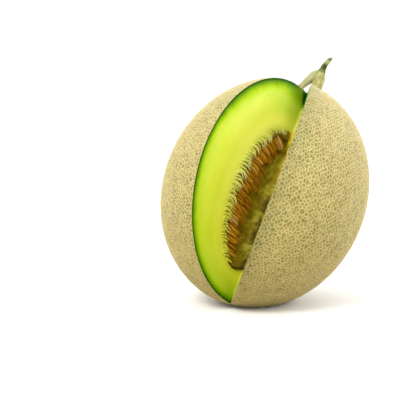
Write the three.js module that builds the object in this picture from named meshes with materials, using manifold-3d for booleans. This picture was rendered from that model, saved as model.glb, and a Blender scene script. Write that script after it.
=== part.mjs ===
// A netted, green-fleshed cantaloupe with one eighth cut out of it, leaning on a small flat spot.
// Units are millimetres, +Z is up, and the origin is the middle of the flat spot that it rests on.
// The fruit's own frame has +z along its core towards the stem, +x to the right of a viewer who
// looks into the cut, and +y away from that viewer. Every piece is modelled in that frame.

import * as THREE from 'three';
import Module from 'manifold-3d';
import { ConvexHull } from 'three/addons/math/ConvexHull.js';
import { mergeVertices } from 'three/addons/utils/BufferGeometryUtils.js';

const wasm = await Module();
wasm.setup();

// Starting values of the seeded random draws
const NET_DRAW = 11;
const STRANDS_DRAW = 23;
const SEEDS_DRAW = 5;

// The whole fruit
const EQUATOR_RADIUS = 72;
const CORE_HALF = 85;
const LEAN = THREE.MathUtils.degToRad(38.1);
const LEAN_TOWARDS = THREE.MathUtils.degToRad(51.6);
const SPOT_DEPTH = 3.2;

// The raised net, larger than life
const NET_CELLS = 500;
const NET_RELIEF = 1.2;
const NET_RIDGE_SHARE = 0.25;
const NET_JITTER = 0.84;

// The eighth that was cut out: two knife cuts that meet on a line beside the core
const LEFT_AZIMUTH = THREE.MathUtils.degToRad(37.1);
const RIGHT_AZIMUTH = THREE.MathUtils.degToRad(6.6);
const APEX_TOP = new THREE.Vector3(-0.4, -0.6, CORE_HALF);
const APEX_BOTTOM = new THREE.Vector3(7.5, 9.9, -CORE_HALF);
const CUT_REACH = 130;
const FLOOR_SPAN = 400;

// The seed cavity
const CAVITY_RADIUS = 31.5;
const CAVITY_HALF = 56;
const CAVITY_CENTRE = -6;
const CAVITY_SIDES = 24;
const CAVITY_RINGS = 12;

// The torn strands on the cavity's edge
const STRANDS_PER_ROW = 30;
const STRAND_ROW_DEPTHS = [1.3, 3.6];
const STRAND_RADIUS = 0.85;
const STRAND_ROOT = 1.2;
const STRAND_TIP_RADIUS = 26.2;
const STRAND_DROOP = 2;
const STRAND_SPREAD = THREE.MathUtils.degToRad(77);

// The seeds: behind each cut face an outer row and, deeper and nearer the core, an inner one,
// which lies in clusters and turns its flat sides to the cut
const SEED_LENGTH = 12.3;
const SEED_WIDTH = 4.4;
const SEED_THICKNESS = 2;
const SEED_DROOP = 0.14;
const SEED_END_LEAN = 0.4;
const SEED_HOLD = 0.95;
const SEED_STRAND_RADIUS = 1;
const SEED_STRAND_POINTS = 9;
const SEED_CLUSTER = 8;
const OUTER_ROW = {
  count: 41, pitch: 2.42, tipRadius: 25.5, tipHalf: 54, depth: 2.65, roll: 0.15, missing: 0,
};
const INNER_ROW = {
  count: 27, pitch: 3.1, tipRadius: 13.8, tipHalf: 56, depth: 6.3, roll: 0.7, missing: 2,
};

// The pulp that the seeds lie on
const PULP_GAP = 0.5;
const PULP_BACK = 4;
const PULP_BED = [[-4, 9.6], [10, 10.4], [21.5, 10.2], [23, 5.5], [31, 5.4], [60, 5.4]];
const PULP_WAVE = 0.8;
const PULP_LEVELS = 15;
const PULP_REACH = 1.1;

// The stem, as centre lines and radii: the stalk, and the two ends of the vine across its top
const STALK = {
  path: [[4.6, 4.4, 84.9], [4.4, 4.3, 91], [3.6, 4.1, 98], [2.9, 3.8, 105.8]],
  radii: [6.6, 5.2, 4.3, 3.9, 3.8, 3.9, 3.8, 2.8],
  sides: 15,
};
const LEFT_ARM = {
  path: [[3.5, 3.8, 104], [-0.4, 4.9, 103.3], [-3.8, 6.4, 99.6], [-6.8, 8.6, 95], [-9.8, 11, 90]],
  radii: [4.3, 4.2, 3.8, 3.1, 2.6, 2.3, 2.5, 2.6],
  sides: 10,
};
const DRY_END = {
  path: [[2.8, 4, 102.5], [2.8, 2.6, 108.5], [3.3, 1, 112.8], [4.7, -0.4, 116.4], [6.4, -1.4, 119.6]],
  radii: [3.7, 3.3, 2.7, 2.1, 1.85, 1.75, 1.4, 0.6],
  sides: 10,
};
const STEM_RIBS = 5;
const STEM_RIB_DEPTH = 0.09;
const STEM_GAP = 0.4;

// A seeded random source, so that every build gives the same fruit
function randomSource(seed) {
  let state = seed >>> 0;
  return () => {
    state = (state + 0x6d2b79f5) >>> 0;
    let t = state;
    t = Math.imul(t ^ (t >>> 15), t | 1);
    t ^= t + Math.imul(t ^ (t >>> 7), t | 61);
    return ((t ^ (t >>> 14)) >>> 0) / 4294967296;
  };
}

function toSolid(geometry) {
  const bare = geometry.clone();
  bare.deleteAttribute('normal');
  bare.deleteAttribute('uv');
  const merged = mergeVertices(bare, 1e-4);
  return new wasm.Manifold(new wasm.Mesh({
    numProp: 3,
    vertProperties: new Float32Array(merged.attributes.position.array),
    triVerts: new Uint32Array(merged.index.array),
  }));
}

function toGeometry(solid) {
  const mesh = solid.getMesh();
  const geometry = new THREE.BufferGeometry();
  geometry.setAttribute('position', new THREE.BufferAttribute(mesh.vertProperties, 3));
  geometry.setIndex(new THREE.BufferAttribute(mesh.triVerts, 1));
  const faceted = geometry.toNonIndexed();
  faceted.computeVertexNormals();
  return faceted;
}

function geometryOf(points, triangles) {
  const geometry = new THREE.BufferGeometry();
  geometry.setFromPoints(points);
  geometry.setIndex(triangles);
  return geometry;
}

function union(solids) {
  return solids.reduce((whole, solid) => whole.add(solid));
}

function largestBody(solid) {
  return solid.decompose().sort((a, b) => b.volume() - a.volume())[0];
}

// The rind's outline

function onRind(direction, inward = 0) {
  const point = new THREE.Vector3(
    direction.x * EQUATOR_RADIUS,
    direction.y * EQUATOR_RADIUS,
    direction.z * CORE_HALF,
  );
  const normal = new THREE.Vector3(
    direction.x / EQUATOR_RADIUS,
    direction.y / EQUATOR_RADIUS,
    direction.z / CORE_HALF,
  ).normalize();
  return point.addScaledVector(normal, -inward);
}

function rindHeight(x, y) {
  return CORE_HALF * Math.sqrt(1 - (x * x + y * y) / EQUATOR_RADIUS ** 2);
}

// The net: cells round points that are spread over the fruit on a spiral, with ridges between them

function spreadPoints(count, random) {
  const goldenAngle = Math.PI * (3 - Math.sqrt(5));
  const spacing = Math.sqrt((4 * Math.PI) / count);
  const points = [];
  for (let i = 0; i < count; i += 1) {
    const z = 1 - (2 * i + 1) / count;
    const ring = Math.sqrt(1 - z * z);
    const angle = i * goldenAngle;
    const point = new THREE.Vector3(ring * Math.cos(angle), ring * Math.sin(angle), z);
    const nudge = new THREE.Vector3(random() - 0.5, random() - 0.5, random() - 0.5);
    points.push(point.addScaledVector(nudge, NET_JITTER * spacing).normalize());
  }
  return points;
}

// Each face of the points' hull is a corner where three cells meet, listed round each cell in turn
function cellCorners(points) {
  const indexOf = new Map(points.map((point, i) => [point, i]));
  const cornersOf = points.map(() => []);
  const corners = [];
  for (const face of new ConvexHull().setFromPoints(points).faces) {
    const trio = [face.edge.prev, face.edge, face.edge.next].map((edge) => edge.head().point);
    const corner = new THREE.Vector3();
    trio.forEach((point) => corner.add(point));
    trio.forEach((point) => cornersOf[indexOf.get(point)].push(corners.length));
    corners.push(corner.normalize());
  }
  const anyAxis = new THREE.Vector3(0.31, 0.52, 0.79);
  points.forEach((point, i) => {
    const east = anyAxis.clone().cross(point).normalize();
    const north = new THREE.Vector3().crossVectors(point, east);
    const bearing = (corner) => Math.atan2(corners[corner].dot(north), corners[corner].dot(east));
    cornersOf[i].sort((a, b) => bearing(a) - bearing(b));
  });
  return { corners, cornersOf };
}

function nettedBody() {
  const points = spreadPoints(NET_CELLS, randomSource(NET_DRAW));
  const { corners, cornersOf } = cellCorners(points);
  const vertices = corners.map((corner) => onRind(corner));
  const triangles = [];
  points.forEach((point, i) => {
    const ring = cornersOf[i];
    const centre = new THREE.Vector3();
    ring.forEach((corner) => centre.addScaledVector(corners[corner], 1 / ring.length));
    const first = vertices.length;
    ring.forEach((corner) => {
      const inner = corners[corner].clone().lerp(centre, NET_RIDGE_SHARE).normalize();
      vertices.push(onRind(inner, NET_RELIEF));
    });
    ring.forEach((corner, k) => {
      const next = (k + 1) % ring.length;
      triangles.push(corner, ring[next], first + next);
      triangles.push(corner, first + next, first + k);
      if (k > 0 && k < ring.length - 1) {
        triangles.push(first, first + k, first + k + 1);
      }
    });
  });
  return toSolid(geometryOf(vertices, triangles));
}

// The knife cuts

function towards(side) {
  return side === 'left'
    ? new THREE.Vector3(-Math.sin(LEFT_AZIMUTH), -Math.cos(LEFT_AZIMUTH), 0)
    : new THREE.Vector3(Math.sin(RIGHT_AZIMUTH), -Math.cos(RIGHT_AZIMUTH), 0);
}

function intoFlesh(side) {
  const out = towards(side);
  return side === 'left'
    ? new THREE.Vector3(out.y, -out.x, 0)
    : new THREE.Vector3(-out.y, out.x, 0);
}

function apexAt(z) {
  const share = (CORE_HALF - z) / (2 * CORE_HALF);
  return APEX_TOP.clone().lerp(APEX_BOTTOM, share);
}

// The point at a height, a way out from the core along a cut face, and a depth behind that face
function alongCut(side, out, z, depth) {
  const inward = intoFlesh(side);
  const offset = apexAt(z).setZ(0).dot(inward);
  return towards(side).multiplyScalar(out).addScaledVector(inward, offset + depth).setZ(z);
}

// The same with the distance from the core to the cut face's point
function behindCut(side, radius, z, depth) {
  const offset = apexAt(z).setZ(0).dot(intoFlesh(side));
  return alongCut(side, Math.sqrt(Math.max(radius ** 2 - offset ** 2, 0)), z, depth);
}

function wedge() {
  const corners = [];
  for (const z of [-CUT_REACH, CUT_REACH]) {
    const apex = apexAt(z);
    corners.push(apex);
    corners.push(apex.clone().addScaledVector(towards('left'), CUT_REACH));
    corners.push(apex.clone().addScaledVector(towards('right'), CUT_REACH));
  }
  const triangles = [0, 2, 1, 3, 4, 5, 0, 1, 4, 0, 4, 3, 1, 2, 5, 1, 5, 4, 2, 0, 3, 2, 3, 5];
  return toSolid(geometryOf(corners, triangles));
}

// The seed cavity, and anything of its shape that is a little smaller

function cavityShape(inset) {
  const profile = [];
  for (let i = 0; i <= CAVITY_RINGS; i += 1) {
    const angle = Math.PI * (i / CAVITY_RINGS - 0.5);
    const radius = i === 0 || i === CAVITY_RINGS ? 0 : (CAVITY_RADIUS - inset) * Math.cos(angle);
    profile.push(new THREE.Vector2(radius, (CAVITY_HALF - inset) * Math.sin(angle)));
  }
  const lathe = new THREE.LatheGeometry(profile, CAVITY_SIDES);
  lathe.rotateX(Math.PI / 2);
  lathe.translate(0, 0, CAVITY_CENTRE);
  return toSolid(lathe);
}

// A slim pyramid from a root to a tip
function strand(root, tip, radius) {
  const along = tip.clone().sub(root).normalize();
  const across = new THREE.Vector3(0, 0, 1).cross(along).normalize();
  const up = new THREE.Vector3().crossVectors(along, across);
  const ring = [0, 1, 2].map((k) => {
    const angle = (2 * Math.PI * k) / 3 + Math.PI / 2;
    return root.clone()
      .addScaledVector(across, radius * Math.cos(angle))
      .addScaledVector(up, radius * Math.sin(angle));
  });
  return toSolid(geometryOf([...ring, tip], [0, 2, 1, 0, 1, 3, 1, 2, 3, 2, 0, 3]));
}

function strandRow(side, depth, random) {
  const strands = [];
  for (let i = 0; i < STRANDS_PER_ROW; i += 1) {
    const angle = STRAND_SPREAD * ((2 * i + 1 + 0.6 * (random() - 0.5)) / STRANDS_PER_ROW - 1);
    const z = CAVITY_CENTRE + CAVITY_HALF * Math.sin(angle);
    const wall = CAVITY_RADIUS * Math.cos(angle);
    const reach = STRAND_TIP_RADIUS * Math.cos(angle);
    const root = behindCut(side, wall + STRAND_ROOT, z, depth);
    const tipHeight = z - STRAND_DROOP * (0.3 + random());
    const tip = behindCut(side, reach + random(), tipHeight, depth + 0.8 * (random() - 0.5));
    strands.push(strand(root, tip, STRAND_RADIUS));
  }
  return strands;
}

// The flesh and its netted rind, grown as one piece

function fruitSolid(placed) {
  const random = randomSource(STRANDS_DRAW);
  const strands = ['left', 'right'].flatMap((side) => (
    STRAND_ROW_DEPTHS.flatMap((depth) => strandRow(side, depth, random))
  ));
  const floor = new THREE.BoxGeometry(FLOOR_SPAN, FLOOR_SPAN, FLOOR_SPAN);
  floor.translate(0, 0, -FLOOR_SPAN / 2);
  floor.applyMatrix4(placed.clone().invert());
  const hollowed = nettedBody().subtract(cavityShape(0)).add(union(strands));
  return largestBody(hollowed.subtract(wedge()).subtract(toSolid(floor)));
}

// Seeds: flat teardrops that point at the core, in a row from one end of the cavity to the other

function seed(tip, inward, along) {
  const across = new THREE.Vector3().crossVectors(inward, along).normalize();
  const flat = new THREE.Vector3().crossVectors(across, inward);
  const at = (share, width, thickness) => tip.clone()
    .addScaledVector(inward, share * SEED_LENGTH)
    .addScaledVector(across, (width * SEED_WIDTH) / 2)
    .addScaledVector(flat, (thickness * SEED_THICKNESS) / 2);
  const ring = (share, size) => [
    at(share, size, 0), at(share, 0, size), at(share, -size, 0), at(share, 0, -size),
  ];
  const points = [at(0, 0, 0), ...ring(0.3, 0.86), ...ring(0.66, 1), at(1, 0, 0)];
  const triangles = [];
  for (let k = 0; k < 4; k += 1) {
    const next = (k + 1) % 4;
    triangles.push(0, 1 + k, 1 + next);
    triangles.push(1 + k, 5 + next, 1 + next);
    triangles.push(1 + k, 5 + k, 5 + next);
    triangles.push(5 + k, 9, 5 + next);
  }
  return toSolid(geometryOf(points, triangles));
}

function seedRow(side, row, random) {
  const seeds = [];
  const roots = [];
  for (let i = 0; i < row.count; i += 1) {
    const height = row.pitch * (i - (row.count - 1) / 2);
    const rise = height / row.tipHalf;
    const radius = row.tipRadius * Math.sqrt(1 - rise ** 2) - 0.7 * random();
    const depth = row.depth + 0.4 * (random() - 0.5);
    const tip = behindCut(side, radius, CAVITY_CENTRE + height, depth);
    const lean = SEED_DROOP + SEED_END_LEAN * rise ** 3 + 0.05 * (random() - 0.5);
    const inward = towards(side).negate().multiplyScalar(Math.cos(lean));
    inward.z = -Math.sin(lean);
    const roll = row.roll + 0.2 * (random() - 0.5);
    const flat = new THREE.Vector3(0, 0, 1).addScaledVector(intoFlesh(side), roll);
    if ((i + 3) % SEED_CLUSTER >= row.missing) {
      seeds.push(seed(tip, inward, flat));
    }
    roots.push(tip.addScaledVector(inward, SEED_HOLD * SEED_LENGTH).toArray());
  }
  const path = Array.from({ length: SEED_STRAND_POINTS }, (_, i) => (
    roots[Math.round((i * (row.count - 1)) / (SEED_STRAND_POINTS - 1))]
  ));
  const radii = new Array(2 * SEED_STRAND_POINTS).fill(SEED_STRAND_RADIUS);
  return largestBody(union([...seeds, ribbedTube({ path, radii, sides: 4 }, 0)]));
}

// The pulp: what is left of the stringy core. The notch in it goes deeper than the knife did, by
// the bed that both rows of seeds lie in, which PULP_BED gives as ways out from the core along a
// cut face and depths behind that face.

function pulpNotch() {
  const wave = (step, level) => (
    step > 0 && step < PULP_BED.length - 1 ? PULP_WAVE * (1 + Math.sin(2.3 * step + 1.3 * level)) : 0
  );
  const points = [];
  for (let level = 0; level < PULP_LEVELS; level += 1) {
    const z = CAVITY_CENTRE + PULP_REACH * CAVITY_HALF * ((2 * level) / (PULP_LEVELS - 1) - 1);
    const left = PULP_BED.map(([out, depth], step) => (
      alongCut('left', out, z, depth + wave(step, level))
    ));
    const right = PULP_BED.map(([out, depth], step) => (
      alongCut('right', out, z, depth + wave(step, level + 2))
    ));
    points.push(apexAt(z).addScaledVector(towards('left').add(towards('right')), -PULP_BACK / 2));
    points.push(...left, ...right.reverse());
  }
  const width = 2 * PULP_BED.length + 1;
  const triangles = [];
  for (let level = 0; level < PULP_LEVELS - 1; level += 1) {
    for (let k = 0; k < width; k += 1) {
      const a = level * width + k;
      const b = level * width + ((k + 1) % width);
      triangles.push(a, b, b + width, a, b + width, a + width);
    }
  }
  const top = (PULP_LEVELS - 1) * width;
  const caps = THREE.ShapeUtils.triangulateShape(
    points.slice(0, width).map((point) => new THREE.Vector2(point.x, point.y)), [],
  );
  for (const [a, b, c] of caps) {
    triangles.push(c, b, a, top + a, top + b, top + c);
  }
  return toSolid(geometryOf(points, triangles));
}

function pulpSolid() {
  return largestBody(cavityShape(PULP_GAP).subtract(pulpNotch()));
}

// The stem: tapering tubes along curves, ribbed all round, with a foot that follows the rind

function ribbedTube({ path, radii, sides }, ribDepth, foot = null) {
  const curve = new THREE.CatmullRomCurve3(path.map((point) => new THREE.Vector3(...point)));
  const last = radii.length - 1;
  const frames = curve.computeFrenetFrames(last, false);
  const points = [];
  const triangles = [];
  for (let i = 0; i <= last; i += 1) {
    const centre = curve.getPointAt(i / last);
    for (let k = 0; k < sides; k += 1) {
      const angle = (2 * Math.PI * k) / sides;
      const radius = radii[i] * (1 + ribDepth * Math.cos(STEM_RIBS * angle));
      points.push(centre.clone()
        .addScaledVector(frames.normals[i], radius * Math.cos(angle))
        .addScaledVector(frames.binormals[i], radius * Math.sin(angle)));
    }
  }
  const firstCap = points.length;
  const lastCap = firstCap + 1;
  points.push(curve.getPointAt(0), curve.getPointAt(1));
  if (foot) {
    [...points.slice(0, sides), points[firstCap]].forEach((point) => {
      point.z = foot(point.x, point.y);
    });
  }
  for (let k = 0; k < sides; k += 1) {
    const next = (k + 1) % sides;
    for (let i = 0; i < last; i += 1) {
      const a = i * sides + k;
      const b = i * sides + next;
      triangles.push(a, b, b + sides, a, b + sides, a + sides);
    }
    triangles.push(firstCap, next, k);
    triangles.push(lastCap, last * sides + k, last * sides + next);
  }
  return toSolid(geometryOf(points, triangles));
}

function stemSolid() {
  const foot = (x, y) => rindHeight(x, y) + STEM_GAP;
  return largestBody(union([
    ribbedTube(STALK, STEM_RIB_DEPTH, foot),
    ribbedTube(LEFT_ARM, STEM_RIB_DEPTH),
    ribbedTube(DRY_END, STEM_RIB_DEPTH),
  ]));
}

// Where the fruit lies: its core leans back and to the right, and its flat spot is at the origin

function placement() {
  const core = new THREE.Vector3(
    Math.sin(LEAN) * Math.cos(LEAN_TOWARDS),
    Math.sin(LEAN) * Math.sin(LEAN_TOWARDS),
    Math.cos(LEAN),
  );
  const right = new THREE.Vector3(1, 0, 0).addScaledVector(core, -core.x).normalize();
  const away = new THREE.Vector3().crossVectors(core, right);
  const stretch = CORE_HALF ** 2 - EQUATOR_RADIUS ** 2;
  const upright = EQUATOR_RADIUS ** 2 + stretch * core.z ** 2;
  const height = Math.sqrt(upright) - SPOT_DEPTH;
  const aside = (stretch * core.z * height) / upright;
  return new THREE.Matrix4()
    .makeBasis(right, away, core)
    .setPosition(aside * core.x, aside * core.y, height);
}

function material(colour, roughness) {
  return new THREE.MeshStandardMaterial({ color: colour, roughness, metalness: 0 });
}

const placed = placement();
const random = randomSource(SEEDS_DRAW);
const pieces = [
  ['fruit', fruitSolid(placed), material(0xcdbf86, 0.8)],
  ['pulp', pulpSolid(), material(0xc9c968, 0.4)],
  ['stem', stemSolid(), material(0x9fa868, 0.8)],
];
for (const side of ['left', 'right']) {
  for (const [place, row] of [['outer', OUTER_ROW], ['inner', INNER_ROW]]) {
    pieces.push([`seeds_${side}_${place}`, seedRow(side, row, random), material(0xb07a30, 0.45)]);
  }
}

const cantaloupe = new THREE.Group();
cantaloupe.applyMatrix4(placed);
for (const [name, solid, finish] of pieces) {
  const mesh = new THREE.Mesh(toGeometry(solid), finish);
  mesh.name = name;
  cantaloupe.add(mesh);
}

export default cantaloupe;
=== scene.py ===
import math

import bmesh
import bpy
import numpy as np
from mathutils import Matrix, Vector, noise


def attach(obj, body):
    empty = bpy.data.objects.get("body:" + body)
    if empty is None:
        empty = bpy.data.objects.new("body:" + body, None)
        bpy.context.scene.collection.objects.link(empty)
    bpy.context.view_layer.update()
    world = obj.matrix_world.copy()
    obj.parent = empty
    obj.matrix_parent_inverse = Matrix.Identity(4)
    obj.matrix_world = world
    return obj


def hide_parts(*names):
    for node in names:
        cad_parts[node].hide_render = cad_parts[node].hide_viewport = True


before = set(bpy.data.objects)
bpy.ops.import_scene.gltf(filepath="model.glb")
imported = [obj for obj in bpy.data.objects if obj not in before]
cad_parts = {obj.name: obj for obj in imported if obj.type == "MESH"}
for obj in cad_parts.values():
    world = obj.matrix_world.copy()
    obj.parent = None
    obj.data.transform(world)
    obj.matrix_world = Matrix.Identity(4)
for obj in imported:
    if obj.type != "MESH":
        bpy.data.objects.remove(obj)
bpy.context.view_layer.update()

MM = 0.001

# The whole fruit
EQUATOR_RADIUS = 72.0
CORE_HALF = 85.0
LEAN = math.radians(38.1)
LEAN_TOWARDS = math.radians(51.6)
SPOT_DEPTH = 3.2

# The knife cuts, which meet on a line beside the core
LEFT_AZIMUTH = math.radians(37.1)
RIGHT_AZIMUTH = math.radians(6.6)
APEX_TOP = np.array([-0.4, -0.6, 85.0])
APEX_BOTTOM = np.array([7.5, 9.9, -85.0])
CUT_REACH = 130.0
CUT_STEP = 2.5
KNIFE_WAVER = 0.12
# How hollow the right cut face is, and how far from its rim it is that deep
KNIFE_HOLLOW = 1.7
KNIFE_HOLLOW_REACH = 44.0

# The seed cavity
CAVITY_RADIUS = 31.5
CAVITY_HALF = 56.0
CAVITY_CENTRE = -6.0
CAVITY_SIDES = 56
CAVITY_RINGS = 40
CAVITY_LUMPS = 0.7

# The net on the rind: cells between raised, corky ridges
NET_CELLS = 15600
NET_JITTER = 0.65
SHORT_RIDGE = 1.15
JOINED_PITS = 0.12
NET_RELIEF = 0.45
RIDGE_HALF_WIDTH = 0.5
NET_WARP = 0.6
NET_WARP_LENGTH = 4.0
CREST_DROP = 0.12
RELIEF_KEPT_ON_SPOT = 0.6
SHARPEST_SMOOTHED = 80

# The torn strands on the cavity's edge: combs of three in layers, and a few that stick out.
# A layer has its depth behind the cut face, how pale, how thick and how long its strands are.
STRAND_COMBS = 25
STRANDS_A_COMB = 3
STRAND_LAYERS = (
    dict(depth=-0.1, pale=1.0, thick=1.0, long=1.0),
    dict(depth=1.3, pale=0.22, thick=2.0, long=0.6),
    dict(depth=2.0, pale=0.95, thick=1.0, long=1.05),
    dict(depth=3.8, pale=0.5, thick=1.2, long=0.9),
)
STRAY_STRANDS = 9
STRAY_ANGLES = (math.radians(40), math.radians(72))
STRAND_RADIUS = 0.66
STRAND_ROOT = 3.0
STRAND_ONSET = 2.6
STRAND_LENGTH = 11.8
STRAND_RISE = 2.9
STRAND_SINK = 1.4
STRAND_STRAY = 3.2
STRAND_SPREAD = math.radians(80)
STRAND_RINGS = 9
STRAND_SIDES = 6

# The seeds: behind each cut face an outer row and, deeper and nearer the core, an inner one
SEED_LENGTH = 12.3
SEED_WIDTH = 4.4
SEED_THICKNESS = 2.0
SEED_DROOP = 0.14
SEED_END_LEAN = 0.4
SEED_RINGS = 13
SEED_SIDES = 14
SEED_CLUSTER = 8
OUTER_ROW = dict(count=41, pitch=2.42, tip_radius=25.5, tip_half=54.0, depth=2.65, roll=0.15,
                 roll_range=0.5, missing=0)
INNER_ROW = dict(count=27, pitch=3.1, tip_radius=13.8, tip_half=56.0, depth=6.3, roll=0.7,
                 roll_range=0.7, missing=2)

# The pulp
PULP_VOXEL = 0.9
PULP_SOFTENING = 6
PULP_LUMPS = 0.45

# The stem, as centre lines and radii: the stalk, and the two ends of the vine across its top
STALK = dict(
    path=[(4.6, 4.4, 84.9), (4.4, 4.3, 91), (3.6, 4.1, 98), (2.9, 3.8, 105.8)],
    radii=[6.6, 5.2, 4.3, 3.9, 3.8, 3.9, 3.8, 2.8],
)
LEFT_ARM = dict(
    path=[(3.5, 3.8, 104), (-0.4, 4.9, 103.3), (-3.8, 6.4, 99.6), (-6.8, 8.6, 95), (-9.8, 11, 90)],
    radii=[4.3, 4.2, 3.8, 3.1, 2.6, 2.3, 2.5, 2.6],
)
DRY_END = dict(
    path=[(2.8, 4, 102.5), (2.8, 2.6, 108.5), (3.3, 1, 112.8), (4.7, -0.4, 116.4), (6.4, -1.4, 119.6)],
    radii=[3.7, 3.3, 2.7, 2.1, 1.85, 1.75, 1.4, 0.6],
)
STEM_RIBS = 5
STEM_RIB_DEPTH = 0.09
STEM_GAP = 0.4
STEM_VOXEL = 0.3
STEM_SOFTENING = 3
STEM_STEPS = 60
STEM_SIDES = 60

# The camera
CAMERA_PLACE = (-38.639, -981.775, 210.628)
CAMERA_TILT = math.radians(82)
CAMERA_LENS = 127.1

# The studio: light that is dimmer from the camera's side than from behind, and a floor in metres
WORLD_FRONT = 0.68
WORLD_BACK = 1.5
FLOOR_HALF = 6.0


# Where the fruit lies


def placement():
    core = np.array([
        math.sin(LEAN) * math.cos(LEAN_TOWARDS),
        math.sin(LEAN) * math.sin(LEAN_TOWARDS),
        math.cos(LEAN),
    ])
    right = np.array([1.0, 0, 0]) - core * core[0]
    right /= np.linalg.norm(right)
    away = np.cross(core, right)
    stretch = CORE_HALF**2 - EQUATOR_RADIUS**2
    upright = EQUATOR_RADIUS**2 + stretch * core[2] ** 2
    height = math.sqrt(upright) - SPOT_DEPTH
    aside = stretch * core[2] * height / upright
    middle = np.array([aside * core[0], aside * core[1], height])
    return np.stack([right, away, core], axis=1), middle


TURN, MIDDLE = placement()


def to_world(points):
    return (np.asarray(points, float) @ TURN.T + MIDDLE) * MM


def to_fruit(points):
    return (np.asarray(points, float) / MM - MIDDLE) @ TURN


# Mesh helpers


def mesh_object(name, points, faces):
    mesh = bpy.data.meshes.new(name)
    mesh.from_pydata(to_world(points).tolist(), [], faces)
    mesh.update()
    made = bpy.data.objects.new(name, mesh)
    bpy.context.scene.collection.objects.link(made)
    return made


def vertex_array(mesh):
    flat = np.empty(3 * len(mesh.vertices))
    mesh.vertices.foreach_get("co", flat)
    return flat.reshape(-1, 3)


def set_vertices(mesh, points):
    mesh.vertices.foreach_set("co", np.asarray(points, np.float32).ravel())
    mesh.update()


def baked(thing):
    """The object's mesh with its modifiers applied, and the modifiers gone."""
    evaluated = thing.evaluated_get(bpy.context.evaluated_depsgraph_get())
    mesh = bpy.data.meshes.new_from_object(evaluated)
    thing.modifiers.clear()
    thing.data = mesh
    mesh.name = thing.name
    return thing


def softened(thing, times):
    soften = thing.modifiers.new("soften", "SMOOTH")
    soften.factor = 0.5
    soften.iterations = times
    return baked(thing)


def set_tones(thing, tones):
    """Stores a number for each point, which the materials read as tone."""
    attribute = thing.data.attributes.new("tone", "FLOAT", "POINT")
    attribute.data.foreach_set("value", np.asarray(tones, np.float32))


def face_outwards(thing):
    work = bmesh.new()
    work.from_mesh(thing.data)
    bmesh.ops.recalc_face_normals(work, faces=work.faces)
    work.to_mesh(thing.data)
    work.free()


def shade_smooth(thing, sharpest=None):
    thing.data.shade_smooth()
    if sharpest is not None:
        thing.data.set_sharp_from_angle(angle=math.radians(sharpest))


def cut_away(thing, cutter):
    cut = thing.modifiers.new("cut", "BOOLEAN")
    cut.operation = "DIFFERENCE"
    cut.solver = "MANIFOLD"
    cut.material_mode = "INDEX"
    cut.object = cutter
    baked(thing)
    bpy.data.objects.remove(cutter)
    return thing


def smooth_noise(points, length, seed):
    """Smooth noise from -1 to 1 at each point, with lumps of about that length."""
    shift = Vector((17.3 * seed, -9.1 * seed, 5.7 * seed))
    return np.array([noise.noise(Vector(point) / length + shift) for point in points])


# The rind's outline


def on_rind(directions, inward=0.0):
    radii = np.array([EQUATOR_RADIUS, EQUATOR_RADIUS, CORE_HALF])
    points = directions * radii
    normals = directions / radii
    normals /= np.linalg.norm(normals, axis=-1, keepdims=True)
    return points - normals * np.asarray(inward)[..., None]


def unit(vectors):
    return vectors / np.linalg.norm(vectors, axis=-1, keepdims=True)


# The net


def cell_pitch(height):
    """How wide the cells are at a height from -1 to 1 on the fruit: small round the stem."""
    return np.interp(height, [-1, -0.8, -0.3, 0.3, 0.75, 1], [0.85, 0.98, 1.08, 1.0, 0.82, 0.68])


def spread_points(draws):
    levels = np.linspace(-1, 1, 2001)
    crowd = 1 / cell_pitch(levels) ** 2
    total = np.concatenate([[0], np.cumsum((crowd[1:] + crowd[:-1]) / 2 * np.diff(levels))])
    shares = (np.arange(NET_CELLS) + 0.5) / NET_CELLS
    height = np.interp(shares * total[-1], total, levels)
    ring = np.sqrt(1 - height**2)
    angle = np.arange(NET_CELLS) * math.pi * (3 - math.sqrt(5))
    points = np.stack([ring * np.cos(angle), ring * np.sin(angle), height], axis=1)
    spacing = np.sqrt(2 * math.pi * total[-1] / NET_CELLS) * cell_pitch(height)
    points += NET_JITTER * spacing[:, None] * (draws.random((NET_CELLS, 3)) - 0.5)
    return unit(points)


def hull_triangles(points):
    work = bmesh.new()
    for point in points:
        work.verts.new(point)
    work.verts.ensure_lookup_table()
    work.verts.index_update()
    bmesh.ops.convex_hull(work, input=work.verts)
    triangles = np.array([[vertex.index for vertex in face.verts] for face in work.faces])
    work.free()
    return triangles


def corner_rings(points, triangles, corners):
    """For each cell, its corners in order round it."""
    around = [[] for _ in points]
    for number, triangle in enumerate(triangles):
        for point in triangle:
            around[point].append(number)
    rings = []
    any_axis = np.array([0.31, 0.52, 0.79])
    for point, numbers in zip(points, around):
        east = unit(np.cross(any_axis, point))
        north = np.cross(point, east)
        near = corners[numbers]
        bearing = np.arctan2(near @ north, near @ east)
        rings.append([numbers[k] for k in np.argsort(bearing)])
    return rings


def dual_edges(triangles):
    """Each pair of triangles that share an edge, with the two cells at that edge's ends."""
    waiting = {}
    found = []
    for number, triangle in enumerate(triangles):
        for k in range(3):
            ends = tuple(sorted((int(triangle[k]), int(triangle[k - 1]))))
            if ends in waiting:
                found.append((waiting.pop(ends), number, *ends))
            else:
                waiting[ends] = number
    return found


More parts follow.
